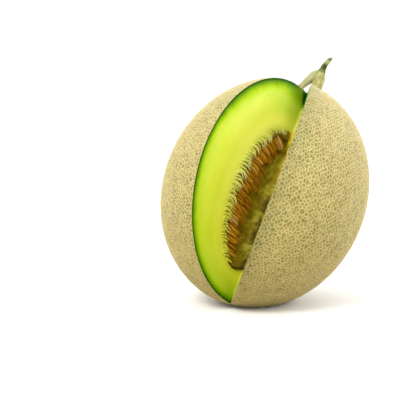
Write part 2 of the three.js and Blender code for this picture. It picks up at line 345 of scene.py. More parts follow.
def without_short_edges(corners, rings, edges):
    """The net with its shortest ridges drawn together, which leaves cells of 4 or 5 sides."""
    placed = on_rind(corners)
    lengths = [np.linalg.norm(placed[a] - placed[b]) for a, b, _, _ in edges]
    sides = [len(ring) for ring in rings]
    used = set()
    target = np.arange(len(corners))
    for number in np.argsort(lengths):
        a, b, first, second = edges[number]
        if lengths[number] > SHORT_RIDGE:
            break
        if a in used or b in used or sides[first] < 5 or sides[second] < 5:
            continue
        used |= {a, b}
        sides[first] -= 1
        sides[second] -= 1
        target[b] = a
        corners[a] = unit(corners[a] + corners[b])
    drawn = []
    for ring in rings:
        ring = [int(target[k]) for k in ring]
        drawn.append([k for k, before in zip(ring, ring[-1:] + ring[:-1]) if k != before])
    return drawn, target


def with_joined_pits(rings, edges, target, draws):
    """Now and then two neighbouring cells become one long cell."""
    taken = set()
    for number in draws.permutation(len(edges))[:int(JOINED_PITS * len(rings))]:
        a, b, first, second = edges[number]
        a, b = int(target[a]), int(target[b])
        if a == b or first in taken or second in taken:
            continue
        one, other = rings[first], rings[second]
        if len(set(one) & set(other)) != 2:
            continue
        if one[(one.index(a) + 1) % len(one)] != b:
            a, b = b, a
        start = one.index(b)
        turn = other.index(a)
        joined_ring = one[start:] + one[:start] + (other[turn:] + other[:turn])[1:-1]
        if len(set(joined_ring)) != len(joined_ring):
            continue
        rings[first] = joined_ring
        rings[second] = []
        taken |= {first, second}
    return rings


def netted_body():
    draws = np.random.default_rng(11)
    points = spread_points(draws)
    triangles = hull_triangles(points)
    corners = unit(points[triangles].sum(axis=1))
    rings = corner_rings(points, triangles, corners)
    placed = on_rind(corners)
    shift = np.array([noise.noise_vector(Vector(p) / NET_WARP_LENGTH) for p in placed])
    corners = unit(corners + shift * NET_WARP / EQUATOR_RADIUS)
    edges = dual_edges(triangles)
    rings, target = without_short_edges(corners, rings, edges)
    rings = with_joined_pits(rings, edges, target, draws)
    crest_drop = CREST_DROP * draws.random(len(corners))
    vertices = [on_rind(corners, crest_drop)]
    faces = []
    count = len(corners)
    for ring in rings:
        if len(ring) < 3:
            continue
        size = len(ring)
        rim = corners[ring]
        centre = unit(rim.mean(axis=0))
        apart = np.linalg.norm(on_rind(rim) - on_rind(centre[None]), axis=1)
        height = centre[2]
        stout = np.interp(height, [-1, 0.3, 0.8, 1], [0.95, 1.0, 1.08, 1.15])
        wide = RIDGE_HALF_WIDTH * stout * (0.75 + 0.7 * draws.random(size))
        edge = np.minimum(wide * 1.15 / apart, 0.78)[:, None]
        relief = NET_RELIEF * (0.8 + 0.4 * draws.random())
        vertices.append(on_rind(unit(rim + (centre - rim) * edge), np.full(size, relief)))
        for k in range(size):
            after = (k + 1) % size
            faces.append((ring[k], ring[after], count + after, count + k))
        faces.append(tuple(range(count, count + size)))
        count += size
    body = np.concatenate(vertices)
    world = to_world(body)
    depth = (1 - np.linalg.norm(body / [EQUATOR_RADIUS, EQUATOR_RADIUS, CORE_HALF], axis=1)) * EQUATOR_RADIUS
    floor = np.clip(depth, 0, NET_RELIEF) * RELIEF_KEPT_ON_SPOT * MM
    low = world[:, 2] < floor
    world[low, 2] = floor[low]
    made = mesh_object("fruit_skin", to_fruit(world), faces)
    work = bmesh.new()
    work.from_mesh(made.data)
    bmesh.ops.delete(work, geom=[v for v in work.verts if not v.link_faces], context="VERTS")
    bmesh.ops.recalc_face_normals(work, faces=work.faces)
    work.to_mesh(made.data)
    work.free()
    return made


# The knife cuts


def towards(side):
    if side == "left":
        return np.array([-math.sin(LEFT_AZIMUTH), -math.cos(LEFT_AZIMUTH), 0])
    return np.array([math.sin(RIGHT_AZIMUTH), -math.cos(RIGHT_AZIMUTH), 0])


def into_flesh(side):
    out = towards(side)
    if side == "left":
        return np.array([out[1], -out[0], 0])
    return np.array([-out[1], out[0], 0])


def apex_at(z):
    share = (CORE_HALF - z) / (2 * CORE_HALF)
    return APEX_TOP + (APEX_BOTTOM - APEX_TOP) * share


def cut_offset(side, z):
    """How far a cut face is behind the core at a height."""
    inward = into_flesh(side)
    apex = apex_at(z)
    return apex[0] * inward[0] + apex[1] * inward[1]


def along_cut(side, out, z, depth):
    """The point at a height, a way out from the core along a cut face, and a depth behind it."""
    point = towards(side) * out + into_flesh(side) * (cut_offset(side, z) + depth)
    point[2] = z
    return point


def behind_cut(side, radius, z, depth):
    """The same with the distance from the core to the cut face's point."""
    out = math.sqrt(max(radius**2 - cut_offset(side, z) ** 2, 0))
    return along_cut(side, out, z, depth)


def wedge():
    """A closed wedge whose two inner faces are the knife's cuts.

    Each wavers a little, and the right one is slightly hollow, so that it hides behind its rim.
    """
    levels = [-CUT_REACH, *np.arange(-CORE_HALF - 1, CORE_HALF + 1, CUT_STEP), CUT_REACH]
    steps = [CUT_REACH, *np.arange(EQUATOR_RADIUS + 4, 0, -CUT_STEP)]
    points = []
    for z in levels:
        apex = apex_at(z)
        points += [apex + towards("left") * out for out in steps]
        points.append(apex)
        points += [apex + towards("right") * out for out in reversed(steps)]
    points = np.array(points)
    width = 2 * len(steps) + 1
    waver = KNIFE_WAVER * (0.7 * smooth_noise(points, 14, 3) + 0.3 * smooth_noise(points, 5, 4))
    for row, z in enumerate(levels):
        rim = EQUATOR_RADIUS * math.sqrt(max(1 - (z / CORE_HALF) ** 2, 0))
        for k in range(1, len(steps)):
            left = row * width + k
            right = row * width + width - 1 - k
            under = min(max((rim - steps[k]) / KNIFE_HOLLOW_REACH, 0), 1)
            points[left] += into_flesh("left") * waver[left]
            points[right] += into_flesh("right") * (waver[right] + KNIFE_HOLLOW * under)
    faces = []
    for row in range(len(levels) - 1):
        for k in range(width):
            a = row * width + k
            b = row * width + (k + 1) % width
            faces.append((a, b, b + width, a + width))
    last = (len(levels) - 1) * width
    for k in range(len(steps)):
        a = k
        b = width - 1 - k
        if k + 1 < len(steps):
            faces.append((a, a + 1, b - 1, b))
            faces.append((last + b, last + b - 1, last + a + 1, last + a))
        else:
            faces.append((a, a + 1, b))
            faces.append((last + b, last + a + 1, last + a))
    made = mesh_object("wedge", points, faces)
    face_outwards(made)
    return made


def cavity():
    """The seed cavity as a solid, lumpy only outwards."""
    points = [(0, 0, CAVITY_CENTRE - CAVITY_HALF)]
    for i in range(1, CAVITY_RINGS):
        rise = math.pi * (i / CAVITY_RINGS - 0.5)
        for k in range(CAVITY_SIDES):
            turn = 2 * math.pi * k / CAVITY_SIDES
            radius = CAVITY_RADIUS * math.cos(rise)
            points.append((radius * math.cos(turn), radius * math.sin(turn),
                           CAVITY_CENTRE + CAVITY_HALF * math.sin(rise)))
    points.append((0, 0, CAVITY_CENTRE + CAVITY_HALF))
    points = np.array(points)
    middle = np.array([0, 0, CAVITY_CENTRE])
    lumps = CAVITY_LUMPS * (0.5 + 0.5 * smooth_noise(points, 4.5, 7))
    points += unit(points - middle) * lumps[:, None]
    faces = []
    for k in range(CAVITY_SIDES):
        after = (k + 1) % CAVITY_SIDES
        faces.append((0, 1 + after, 1 + k))
        for i in range(CAVITY_RINGS - 2):
            a = 1 + i * CAVITY_SIDES + k
            b = 1 + i * CAVITY_SIDES + after
            faces.append((a, b, b + CAVITY_SIDES, a + CAVITY_SIDES))
        top = 1 + (CAVITY_RINGS - 2) * CAVITY_SIDES
        faces.append((top + k, top + after, len(points) - 1))
    made = mesh_object("cavity", points, faces)
    face_outwards(made)
    return made


# Tubes along curves


def smooth_path(path, steps):
    """Points at even distances along a Catmull-Rom curve through the path, and its directions."""
    path = np.array(path, float)
    path = np.concatenate([[2 * path[0] - path[1]], path, [2 * path[-1] - path[-2]]])
    fine = []
    for i in range(1, len(path) - 2):
        before, start, end, after = path[i - 1:i + 3]
        for t in np.linspace(0, 1, 24, endpoint=False):
            fine.append(0.5 * (2 * start + (end - before) * t
                               + (2 * before - 5 * start + 4 * end - after) * t**2
                               + (3 * start - 3 * end + after - before) * t**3))
    fine.append(path[-2])
    fine = np.array(fine)
    gone = np.concatenate([[0], np.cumsum(np.linalg.norm(np.diff(fine, axis=0), axis=1))])
    wanted = np.linspace(0, gone[-1], steps)
    centres = np.stack([np.interp(wanted, gone, fine[:, axis]) for axis in range(3)], axis=1)
    return centres, unit(np.gradient(centres, axis=0))


def tube(path, radii, steps, sides, shape=None, first_side=(0, 0, 1)):
    """Points and faces of a closed tube. shape(share along, angles) scales the radius."""
    centres, forward = smooth_path(path, steps)
    shares = np.linspace(0, 1, steps)
    sizes = np.interp(shares, np.linspace(0, 1, len(radii)), radii)
    angles = 2 * math.pi * np.arange(sides) / sides
    side = np.cross(forward[0], first_side)
    if np.linalg.norm(side) < 1e-3:
        side = np.cross(forward[0], (1, 0, 0))
    points = []
    for share, centre, ahead, size in zip(shares, centres, forward, sizes):
        side = unit(side - ahead * (side @ ahead))
        up = np.cross(ahead, side)
        radius = size * (shape(share, angles) if shape else np.ones(sides))
        points.append(centre + radius[:, None] * (np.cos(angles)[:, None] * side
                                                  + np.sin(angles)[:, None] * up))
    points = np.concatenate([*points, centres[:1], centres[-1:]])
    faces = []
    for i in range(steps - 1):
        for k in range(sides):
            after = (k + 1) % sides
            faces.append((i * sides + k, i * sides + after,
                          (i + 1) * sides + after, (i + 1) * sides + k))
    foot = steps * sides
    top = (steps - 1) * sides
    for k in range(sides):
        after = (k + 1) % sides
        faces.append((foot, after, k))
        faces.append((foot + 1, top + k, top + after))
    return points, faces


def joined(parts):
    """The points and faces of several (points, faces), and which part each point is in."""
    points, faces, owners = [], [], []
    count = 0
    for number, (some_points, some_faces) in enumerate(parts):
        points.append(some_points)
        faces += [tuple(count + k for k in face) for face in some_faces]
        owners.append(np.full(len(some_points), number))
        count += len(some_points)
    return np.concatenate(points), faces, np.concatenate(owners)


# The torn strands


def strand(side, angle, layer, share, lift=0.0):
    """A tapered strand that leaves the flesh at an angle up the cavity's edge and bends down.

    share holds four numbers from 0 to 1 for its length, rise, thickness and stray, and lift is
    how far its tip stands out of the cut face.
    """
    wall = np.array([CAVITY_RADIUS * math.cos(angle), CAVITY_CENTRE + CAVITY_HALF * math.sin(angle)])
    outward = unit(np.array([math.cos(angle) / CAVITY_RADIUS, math.sin(angle) / CAVITY_HALF]))
    upward = np.array([-outward[1], outward[0]])
    inward = unit(np.array([-0.65, 0]) - 0.35 * outward)
    long = STRAND_LENGTH * layer["long"] * (0.55 + 0.8 * share[0]) * (0.45 + 0.55 * math.cos(angle))
    rise = STRAND_RISE * (0.3 + 1.3 * share[1]) * (0.4 + 0.6 * math.cos(angle))
    size = STRAND_RADIUS * layer["thick"] * (0.65 + 0.7 * share[2])
    stray = STRAND_STRAY * (share[3] - 0.5)
    sink = STRAND_SINK if side == "right" else 0

    def place(along_inward, along_upward, behind):
        radius, z = wall + inward * (along_inward - STRAND_ONSET) + upward * along_upward
        return behind_cut(side, max(radius, 0), z, layer["depth"] + sink + behind)

    path = [
        place(-STRAND_ROOT, -0.8 * rise, 1.2 * size),
        place(0, 0, 0.7 * size),
        place(0.5 * long, 0.75 * rise, 0.2 * size - 0.6 * lift),
        place(long, 0.1 * rise + stray, 0.8 * share[2] + 0.2 * size - lift),
    ]
    radii = [0.4 * size, 1.1 * size, 1.15 * size, 0.95 * size, 0.6 * size, 0.1 * size]

    def flattened(share_along, angles):
        return 1 + 0.2 * np.cos(2 * angles)

    return tube(path, radii, STRAND_RINGS, STRAND_SIDES, flattened)


def strand_piece():
    draws = np.random.default_rng(23)
    parts = []
    tones = []
    for side in ("left", "right"):
        for number, layer in enumerate(STRAND_LAYERS):
            for comb in range(STRAND_COMBS):
                shared = draws.random(4)
                for member in range(STRANDS_A_COMB):
                    own = draws.random(4)
                    spot = comb + 0.35 * number + 0.3 * (member - 1) + 0.14 * own[3]
                    angle = STRAND_SPREAD * (2 * (spot + 0.5) / STRAND_COMBS - 1)
                    parts.append(strand(side, angle, layer, 0.5 * shared + 0.5 * own))
                    tones.append(layer["pale"] * (0.7 + 0.3 * own[1]))
    for angle in np.linspace(*STRAY_ANGLES, STRAY_STRANDS):
        share = draws.random(4)
        parts.append(strand("right", angle, STRAND_LAYERS[0], share, 1.2 + 1.8 * share[0]))
        tones.append(0.0)
    points, faces, owners = joined(parts)
    made = mesh_object("strands", points, faces)
    face_outwards(made)
    shade_smooth(made)
    set_tones(made, np.array(tones)[owners])
    return made


# Seeds: flat teardrops that point at the core


def seed_outline(share):
    """Half the width at a share of the length, from the pointed tip to the round end."""
    return np.where(share < 0.66, np.sin(math.pi / 2 * (share / 0.66) ** 0.8) ** 0.95,
                    np.sqrt(np.maximum(1 - ((share - 0.66) / 0.34) ** 2.3, 0)))


def seed(tip, inward, flat, length, width, thickness):
    across = unit(np.cross(inward, flat))
    flat = np.cross(across, inward)
    shares = 0.5 - 0.5 * np.cos(math.pi * np.linspace(0, 1, SEED_RINGS))
    angles = 2 * math.pi * np.arange(SEED_SIDES) / SEED_SIDES
    ring_points = []
    for share in shares[1:-1]:
        half = seed_outline(share)
        x = np.cos(angles)
        swell = np.sign(np.sin(angles)) * np.abs(np.sin(angles)) ** 1.25
        height = 0.5 * thickness * half**0.7
        ring_points.append(tip + inward * share * length
                           + across * (0.5 * width * half * x)[:, None]
                           + flat * (height * swell)[:, None])
    points = np.concatenate([*ring_points, [tip], [tip + inward * length]])
    rows = SEED_RINGS - 2
    faces = []
    for i in range(rows - 1):
        for k in range(SEED_SIDES):
            after = (k + 1) % SEED_SIDES
            faces.append((i * SEED_SIDES + k, i * SEED_SIDES + after,
                          (i + 1) * SEED_SIDES + after, (i + 1) * SEED_SIDES + k))
    first = rows * SEED_SIDES
    top = (rows - 1) * SEED_SIDES
    for k in range(SEED_SIDES):
        after = (k + 1) % SEED_SIDES
        faces.append((first, after, k))
        faces.append((first + 1, top + k, top + after))
    return points, faces


def seed_row(name, side, row, draws):
    parts = []
    for i in range(row["count"]):
        height = row["pitch"] * (i - (row["count"] - 1) / 2)
        rise = height / row["tip_half"]
        radius = row["tip_radius"] * math.sqrt(1 - rise**2) - 1.8 * draws.random()
        depth = row["depth"] + 0.5 * (draws.random() - 0.5)
        tip = behind_cut(side, radius, CAVITY_CENTRE + height, depth)
        lean = SEED_DROOP + SEED_END_LEAN * rise**3 + 0.24 * (draws.random() - 0.5)
        inward = -towards(side) * math.cos(lean)
        inward[2] = -math.sin(lean)
        inward = unit(inward + into_flesh(side) * 0.12 * (draws.random() - 0.5))
        size = 0.92 + 0.13 * draws.random()
        roll = row["roll"] + row["roll_range"] * (draws.random() - 0.5)
        flat = np.array([0, 0, 1.0]) + into_flesh(side) * roll
        thickness = SEED_THICKNESS * (0.7 + 0.25 * draws.random())
        if (i + 3) % SEED_CLUSTER >= row["missing"]:
            parts.append(seed(tip, inward, flat, SEED_LENGTH * size, SEED_WIDTH * size, thickness))
    points, faces, owners = joined(parts)
    made = mesh_object(name, points, faces)
    face_outwards(made)
    shade_smooth(made)
    set_tones(made, draws.random(len(parts))[owners])
    return made


# The pulp that the seeds lie on


def remeshed(thing, voxel):
    remesh = thing.modifiers.new("remesh", "REMESH")
    remesh.mode = "VOXEL"
    remesh.voxel_size = voxel * MM
    remesh.use_smooth_shade = True
    return baked(thing)


def pulp_piece():
    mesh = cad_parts["pulp"].data.copy()
    made = bpy.data.objects.new("pulp_flesh", mesh)
    bpy.context.scene.collection.objects.link(made)
    work = bmesh.new()
    work.from_mesh(mesh)
    bmesh.ops.remove_doubles(work, verts=work.verts, dist=0.01 * MM)
    work.to_mesh(mesh)
    work.free()
    remeshed(made, PULP_VOXEL)
    softened(made, PULP_SOFTENING)
    mesh = made.data
    normals = np.empty(3 * len(mesh.vertices))
    mesh.vertex_normals.foreach_get("vector", normals)
    points = vertex_array(mesh)
    local = to_fruit(points)
    lumps = 0.6 * smooth_noise(local, 6.5, 1) + 0.4 * smooth_noise(local, 2.6, 2) - 0.35
    points += normals.reshape(-1, 3) * (PULP_LUMPS * MM) * lumps[:, None]
    set_vertices(mesh, points)
    shade_smooth(made)
    return made


# The stem


def rind_height(x, y):
    return CORE_HALF * np.sqrt(1 - (x * x + y * y) / EQUATOR_RADIUS**2)


def stem_piece():
    def ribbed(share, angles):
        twist = 0.5 * share
        return 1 + STEM_RIB_DEPTH * np.cos(STEM_RIBS * (angles + twist)) + 0.02 * np.cos(17 * angles)

    parts = []
    for limb, is_stalk in ((STALK, True), (LEFT_ARM, False), (DRY_END, False)):
        points, faces = tube(limb["path"], limb["radii"], STEM_STEPS, STEM_SIDES, ribbed)
        if is_stalk:
            foot = [*range(STEM_SIDES), len(points) - 2]
            points[foot, 2] = rind_height(points[foot, 0], points[foot, 1]) + STEM_GAP
        parts.append((points, faces))
    points, faces, _ = joined(parts)
    made = mesh_object("stem_wood", points, faces)
    face_outwards(made)
    remeshed(made, STEM_VOXEL)
    softened(made, STEM_SOFTENING)
    shade_smooth(made)
    return made


# Materials


def linear(red, green, blue):
    """A colour given as it shows on a screen, from 0 to 255, for a shader."""
    shares = [value / 255 for value in (red, green, blue)]
    return (*[v / 12.92 if v <= 0.04045 else ((v + 0.055) / 1.055) ** 2.4 for v in shares], 1)


class Shader:
    """A material under construction: add() makes a node and fills or links its inputs."""

    def __init__(self, name):
        self.material = bpy.data.materials.new(name)
        self.material.use_nodes = True
        self.tree = self.material.node_tree
        self.surface = self.tree.nodes["Principled BSDF"]

    def fill(self, node, inputs):
        for key, value in inputs.items():
            socket = node.inputs[key]
            if isinstance(value, bpy.types.NodeSocket):
                self.tree.links.new(value, socket)
            else:
                socket.default_value = value

    def add(self, kind, inputs=None, output=0, **settings):
        node = self.tree.nodes.new(kind)
        for key, value in settings.items():
            setattr(node, key, value)
        self.fill(node, inputs or {})
        return node.outputs[output]

    def maths(self, operation, *values, clamp=False):
        return self.add("ShaderNodeMath", dict(enumerate(values)), operation=operation, use_clamp=clamp)

    def vectors(self, operation, *values, output=0):
        return self.add("ShaderNodeVectorMath", dict(enumerate(values)), output, operation=operation)

    def mapped(self, value, from_low, from_high, to_low=0.0, to_high=1.0, smooth=False):
        return self.add("ShaderNodeMapRange", {
            "Value": value, "From Min": from_low, "From Max": from_high,
            "To Min": to_low, "To Max": to_high,
        }, interpolation_type="SMOOTHSTEP" if smooth else "LINEAR")

    def place(self):
        """The surface's place in metres, with the floor at height 0."""
        return self.add("ShaderNodeTexCoord", output="Object")

    def fruit_point(self):
        """The surface's place in millimetres in the fruit's own frame."""
        place = self.place()
        turn = Matrix(TURN.T.tolist())
        shift = -(turn @ Vector(MIDDLE))
        return self.add("ShaderNodeMapping", {
            "Vector": place, "Location": shift, "Rotation": turn.to_euler(),
            "Scale": (1 / MM, 1 / MM, 1 / MM),
        }, vector_type="POINT")

    def axis(self, point, name):
        """One coordinate of a point: X, Y or Z."""
        return self.add("ShaderNodeSeparateXYZ", {"Vector": point}, output=name)

    def past_ellipsoid(self, point, radius, half):
        """How far a point is outside an ellipsoid round the core, in millimetres."""
        scaled = self.vectors("DIVIDE", point, (radius, radius, half))
        share = self.vectors("LENGTH", scaled, output="Value")
        steep = self.vectors("DIVIDE", point, (radius**2, radius**2, half**2))
        slope = self.vectors("LENGTH", steep, output="Value")
        past = self.maths("SUBTRACT", share, 1.0)
        return self.maths("DIVIDE", self.maths("MULTIPLY", past, share), slope)

    def depth_under_rind(self, point):
        """How far a place is under the fruit's outline, in millimetres."""
        return self.maths("MULTIPLY", self.past_ellipsoid(point, EQUATOR_RADIUS, CORE_HALF), -1.0)

    def depth_from_cavity(self, point):
        """How far a place is outside the seed cavity, in millimetres."""
        moved = self.vectors("SUBTRACT", point, (0, 0, CAVITY_CENTRE))
        return self.past_ellipsoid(moved, CAVITY_RADIUS, CAVITY_HALF)

    def depth_behind_right_cut(self, point):
        """How far a place is behind the right cut's plane, in millimetres."""
        slant = (APEX_BOTTOM - APEX_TOP) / (2 * CORE_HALF)
        inward = into_flesh("right")
        leaning = np.array([inward[0], inward[1], slant @ inward])
        reach = self.vectors("DOT_PRODUCT", point, tuple(leaning), output="Value")
        return self.maths("SUBTRACT", reach, float(APEX_TOP @ leaning))

    def noise(self, point, length, detail=2.0, roughness=0.5, distortion=0.0):
        return self.add("ShaderNodeTexNoise", {
            "Vector": point, "Scale": 1 / length, "Detail": detail,
            "Roughness": roughness, "Distortion": distortion,
        }, output="Fac")

    def ramp(self, share, stops, interpolation="LINEAR"):
        node = self.tree.nodes.new("ShaderNodeValToRGB")
        node.color_ramp.interpolation = interpolation
        elements = node.color_ramp.elements
        while len(elements) < len(stops):
            elements.new(0.5)
        for element, (place, colour) in zip(elements, stops):
            element.position = place
            element.color = linear(*colour)
        self.tree.links.new(share, node.inputs["Fac"])
        return node.outputs["Color"]

    def mix(self, share, first, second, blend="MIX"):
        node = self.tree.nodes.new("ShaderNodeMix")
        node.data_type = "RGBA"
        node.blend_type = blend
        for name, value in (("Factor_Float", share), ("A_Color", first), ("B_Color", second)):
            socket = next(s for s in node.inputs if s.identifier == name)
            if isinstance(value, bpy.types.NodeSocket):
                self.tree.links.new(value, socket)
            elif name == "Factor_Float":
                socket.default_value = value
            else:
                socket.default_value = linear(*value)
        return next(s for s in node.outputs if s.identifier == "Result_Color")

    def bump(self, height, distance, strength=1.0):
        return self.add("ShaderNodeBump", {
            "Height": height, "Distance": distance * MM, "Strength": strength,
        })

    def finish(self, **inputs):
        self.fill(self.surface, {key.replace("_", " "): value for key, value in inputs.items()})
        return self.material


def rind_material():
    shader = Shader("netted_rind")
    point = shader.fruit_point()
    depth = shader.depth_under_rind(point)
    fine = shader.noise(point, 1.1, 3.0)
    ragged = shader.maths("MULTIPLY", shader.maths("SUBTRACT", fine, 0.5), 0.25)
    floor_share = shader.mapped(shader.maths("ADD", depth, ragged), 0.24, 0.44, smooth=True)
    cork = shader.ramp(shader.noise(point, 2.6, 4.0), [
        (0.25, (190, 174, 114)), (0.5, (205, 189, 129)), (0.75, (217, 204, 148)),
    ])
    skin = shader.ramp(shader.noise(point, 6.0, 3.0), [
        (0.3, (136, 125, 60)), (0.5, (154, 143, 76)), (0.72, (170, 157, 92)),
    ])
    patchy = shader.noise(point, 26.0, 2.0)
    skin = shader.mix(shader.mapped(patchy, 0.54, 0.72, 0.0, 0.4, smooth=True), skin, (122, 136, 58))
    colour = shader.mix(floor_share, cork, skin)
    # Painted shade: the rind darkens and browns towards the floor, by the surface's height in the world.
    painted_shade_low = shader.mapped(shader.axis(shader.place(), "Z"), 0.15, 0.0)
    colour = shader.mix(painted_shade_low, colour, shader.mix(1.0, colour, (204, 194, 145), "MULTIPLY"))
    # Painted shade: the rind just behind the right cut's rim, on its near side, is made a little darker.
    near_side = shader.vectors("DOT_PRODUCT", point, tuple(towards("right")), output="Value")
    past_cut = shader.depth_behind_right_cut(point)
    painted_shade_beside_cut = shader.maths("MULTIPLY", shader.mapped(past_cut, 16.0, 0.0, smooth=True),
                              shader.mapped(past_cut, -4.0, -2.0))
    painted_shade_beside_cut = shader.maths("MULTIPLY", painted_shade_beside_cut, shader.mapped(near_side, 10.0, 40.0))
    colour = shader.mix(painted_shade_beside_cut, colour, shader.mix(1.0, colour, (228, 231, 224), "MULTIPLY"))
    grain = shader.noise(point, 0.35, 3.0, 0.6)
    relief = shader.maths("ADD", grain, shader.maths("MULTIPLY", fine, 0.8))
    return shader.finish(
        Base_Color=colour,
        Roughness=shader.mapped(floor_share, 0.0, 1.0, 0.82, 0.6),
        Specular_IOR_Level=0.3,
        Sheen_Weight=0.2,
        Sheen_Roughness=0.5,
        Sheen_Tint=linear(228, 226, 255),
        Normal=shader.bump(relief, 0.12),
    )


# The flesh's colours by depth under the rind, from its paler top to its greener foot
FLESH_REACH = 34.0
FLESH_STOPS = [
    (0.0, (190, 176, 110)), (0.25, (110, 124, 40)), (0.4, (18, 66, 2)), (1.3, (30, 86, 2)),
    (2.1, (82, 126, 2)), (3.6, (120, 162, 2)), (5.3, (156, 190, 8)), (8.0, (192, 216, 52)),
    (11.0, (206, 223, 90)), (18.0, (219, 229, 92)), (34.0, (229, 234, 88)),
]


def flesh_material():
    shader = Shader("green_flesh")
    point = shader.fruit_point()
    depth = shader.depth_under_rind(point)
    hollow = shader.depth_from_cavity(point)
    along = shader.axis(point, "Z")
    wander = shader.maths("SUBTRACT", shader.noise(point, 9.0, 3.0), 0.5)
    growing = shader.mapped(depth, 0.6, 8.0, 0.0, 5.0)
    flat = shader.vectors("MULTIPLY", point, (1, 1, 0))
    from_core = shader.vectors("LENGTH", shader.vectors("SUBTRACT", flat, (2, 1.5, 0)), output="Value")
    near_stem = shader.maths("MULTIPLY", shader.mapped(from_core, 30.0, 6.0, 0.0, 1.0, smooth=True),
                             shader.mapped(along, 46.0, 68.0, smooth=True))
    low = shader.mapped(along, 45.0, 5.0, 0.0, 0.35, smooth=True)
    near_stem = shader.maths("SUBTRACT", near_stem, low)
    moved = shader.maths("ADD", depth, shader.maths("MULTIPLY", wander, growing))
    past_skin = shader.maths("MAXIMUM", shader.maths("SUBTRACT", moved, 0.5), 0.0)
    moved = shader.maths("ADD", shader.maths("MINIMUM", moved, 0.5),
                         shader.maths("DIVIDE", past_skin, shader.maths("ADD", near_stem, 1.0)))
    stops = [(place / FLESH_REACH, colour) for place, colour in FLESH_STOPS]
    colour = shader.ramp(shader.maths("DIVIDE", moved, FLESH_REACH), stops)
    ripe = shader.mapped(along, 55.0, -50.0)

    fibres = shader.noise(point, 2.2, 4.0, 0.6, 0.6)
    paler = shader.maths("MULTIPLY", shader.mapped(fibres, 0.45, 0.75, 0.0, 0.16),
                         shader.mapped(depth, 4.0, 11.0))
    colour = shader.mix(paler, colour, (240, 244, 140))
    pale = shader.maths("MULTIPLY", shader.mapped(shader.noise(point, 20.0, 2.0), 0.4, 0.65, 0.0, 0.4),
                        shader.mapped(depth, 9.0, 15.0))
    colour = shader.mix(pale, colour, (240, 240, 124))
    beside_hollow = shader.maths("MULTIPLY", shader.mapped(hollow, 15.0, 5.0, 0.0, 0.8, smooth=True),
                                 shader.mapped(depth, 12.0, 20.0))
    colour = shader.mix(beside_hollow, colour, (252, 248, 134))

    high = shader.mapped(along, 44.0, 58.0, smooth=True)
    olive = shader.mapped(from_core, 22.0, 4.0, 0.0, 0.5, smooth=True)
    colour = shader.mix(shader.maths("MULTIPLY", olive, high), colour, (160, 172, 10))
    plug_reach = shader.mapped(along, 66.0, 84.0, 1.0, 8.0)
    edge = shader.maths("ADD", from_core, shader.maths("MULTIPLY", wander, 6.0))
    plug = shader.maths("SUBTRACT", plug_reach, edge)
    plug = shader.maths("MULTIPLY", shader.mapped(plug, -1.0, 2.0, smooth=True),
                        shader.mapped(along, 69.0, 76.0, smooth=True))
    colour = shader.mix(plug, colour, (34, 92, 20))

    colour = shader.mix(ripe, colour, shader.mix(1.0, colour, (223, 227, 142), "MULTIPLY"))
    # Streaks round the cavity's edge: partly the torn flesh's own yellower colour, partly painted shade
    # between the strand roots.
    threads = shader.maths("MULTIPLY", shader.noise(point, 1.6, 2.0), 0.9)
    torn_edge_and_root_shade = shader.maths("MULTIPLY", shader.mapped(hollow, 4.5, 0.0, smooth=True), threads)
    colour = shader.mix(torn_edge_and_root_shade, colour, (192, 186, 30))
    inside = shader.mapped(hollow, 0.8, -0.4, 0.0, 0.85, smooth=True)
    wall = shader.mix(shader.mapped(along, 34.0, 48.0, smooth=True), (214, 204, 66), (246, 156, 12))
    colour = shader.mix(inside, colour, wall)
    grain = shader.noise(point, 0.8, 4.0, 0.6)
    relief = shader.maths("ADD", fibres, shader.maths("MULTIPLY", grain, 0.5))
    return shader.finish(
        Base_Color=colour,
        Roughness=shader.mapped(fibres, 0.3, 0.7, 0.4, 0.5),
        Specular_IOR_Level=0.06,
        Subsurface_Weight=0.3,
        Subsurface_Radius=(0.8, 1.0, 0.25),
        Subsurface_Scale=3 * MM,
        Normal=shader.bump(relief, 0.18),
    )


def strand_material():
    shader = Shader("strand_flesh")
    point = shader.fruit_point()
    tone = shader.add("ShaderNodeAttribute", output="Fac", attribute_name="tone")
    hollow = shader.depth_from_cavity(point)
    colour = shader.ramp(tone, [
        (0.0, (224, 180, 20)), (0.15, (218, 210, 44)), (0.5, (244, 241, 112)), (1.0, (254, 252, 182)),
    ])
    colour = shader.mix(shader.mapped(hollow, 0.5, -2.5, 0.6, 0.0, smooth=True), colour, (224, 230, 76))
    along = shader.axis(point, "Z")
    riper = shader.mapped(along, -5.0, -35.0)
    colour = shader.mix(riper, colour, shader.mix(1.0, colour, (238, 232, 168), "MULTIPLY"))
    fibres = shader.noise(point, 0.7, 3.0, 0.6)
    return shader.finish(
        Base_Color=colour,
        Roughness=0.45,
        Specular_IOR_Level=0.2,
        Subsurface_Weight=0.3,
        Subsurface_Radius=(1.0, 1.0, 0.4),
        Subsurface_Scale=1 * MM,
        Normal=shader.bump(fibres, 0.1),
    )


def pulp_material():
    shader = Shader("pulp_flesh")
    point = shader.fruit_point()
    blotches = shader.noise(point, 6.0, 4.0, 0.6, 0.5)
    past_cut = shader.depth_behind_right_cut(point)
    colour = shader.ramp(blotches, [
        (0.3, (138, 116, 4)), (0.5, (176, 156, 8)), (0.64, (208, 199, 56)), (0.78, (224, 221, 104)),
    ])
    along = shader.axis(point, "Z")
    shade = shader.maths("MULTIPLY", shader.mapped(past_cut, -4.0, -0.4, 0.0, 0.9, smooth=True),
                         shader.mapped(along, 14.0, -8.0, smooth=True))
    shade = shader.maths("MULTIPLY", shade, shader.mapped(blotches, 0.66, 0.46, 0.3, 1.0))
    colour = shader.mix(shade, colour, (66, 62, 4))
    fibres = shader.noise(point, 1.4, 4.0, 0.6)
    return shader.finish(
        Base_Color=colour,
        Roughness=0.55,
        Specular_IOR_Level=0.15,
        Subsurface_Weight=0.35,
        Subsurface_Radius=(1.0, 0.9, 0.3),
        Subsurface_Scale=3 * MM,
        Normal=shader.bump(fibres, 0.15),
    )


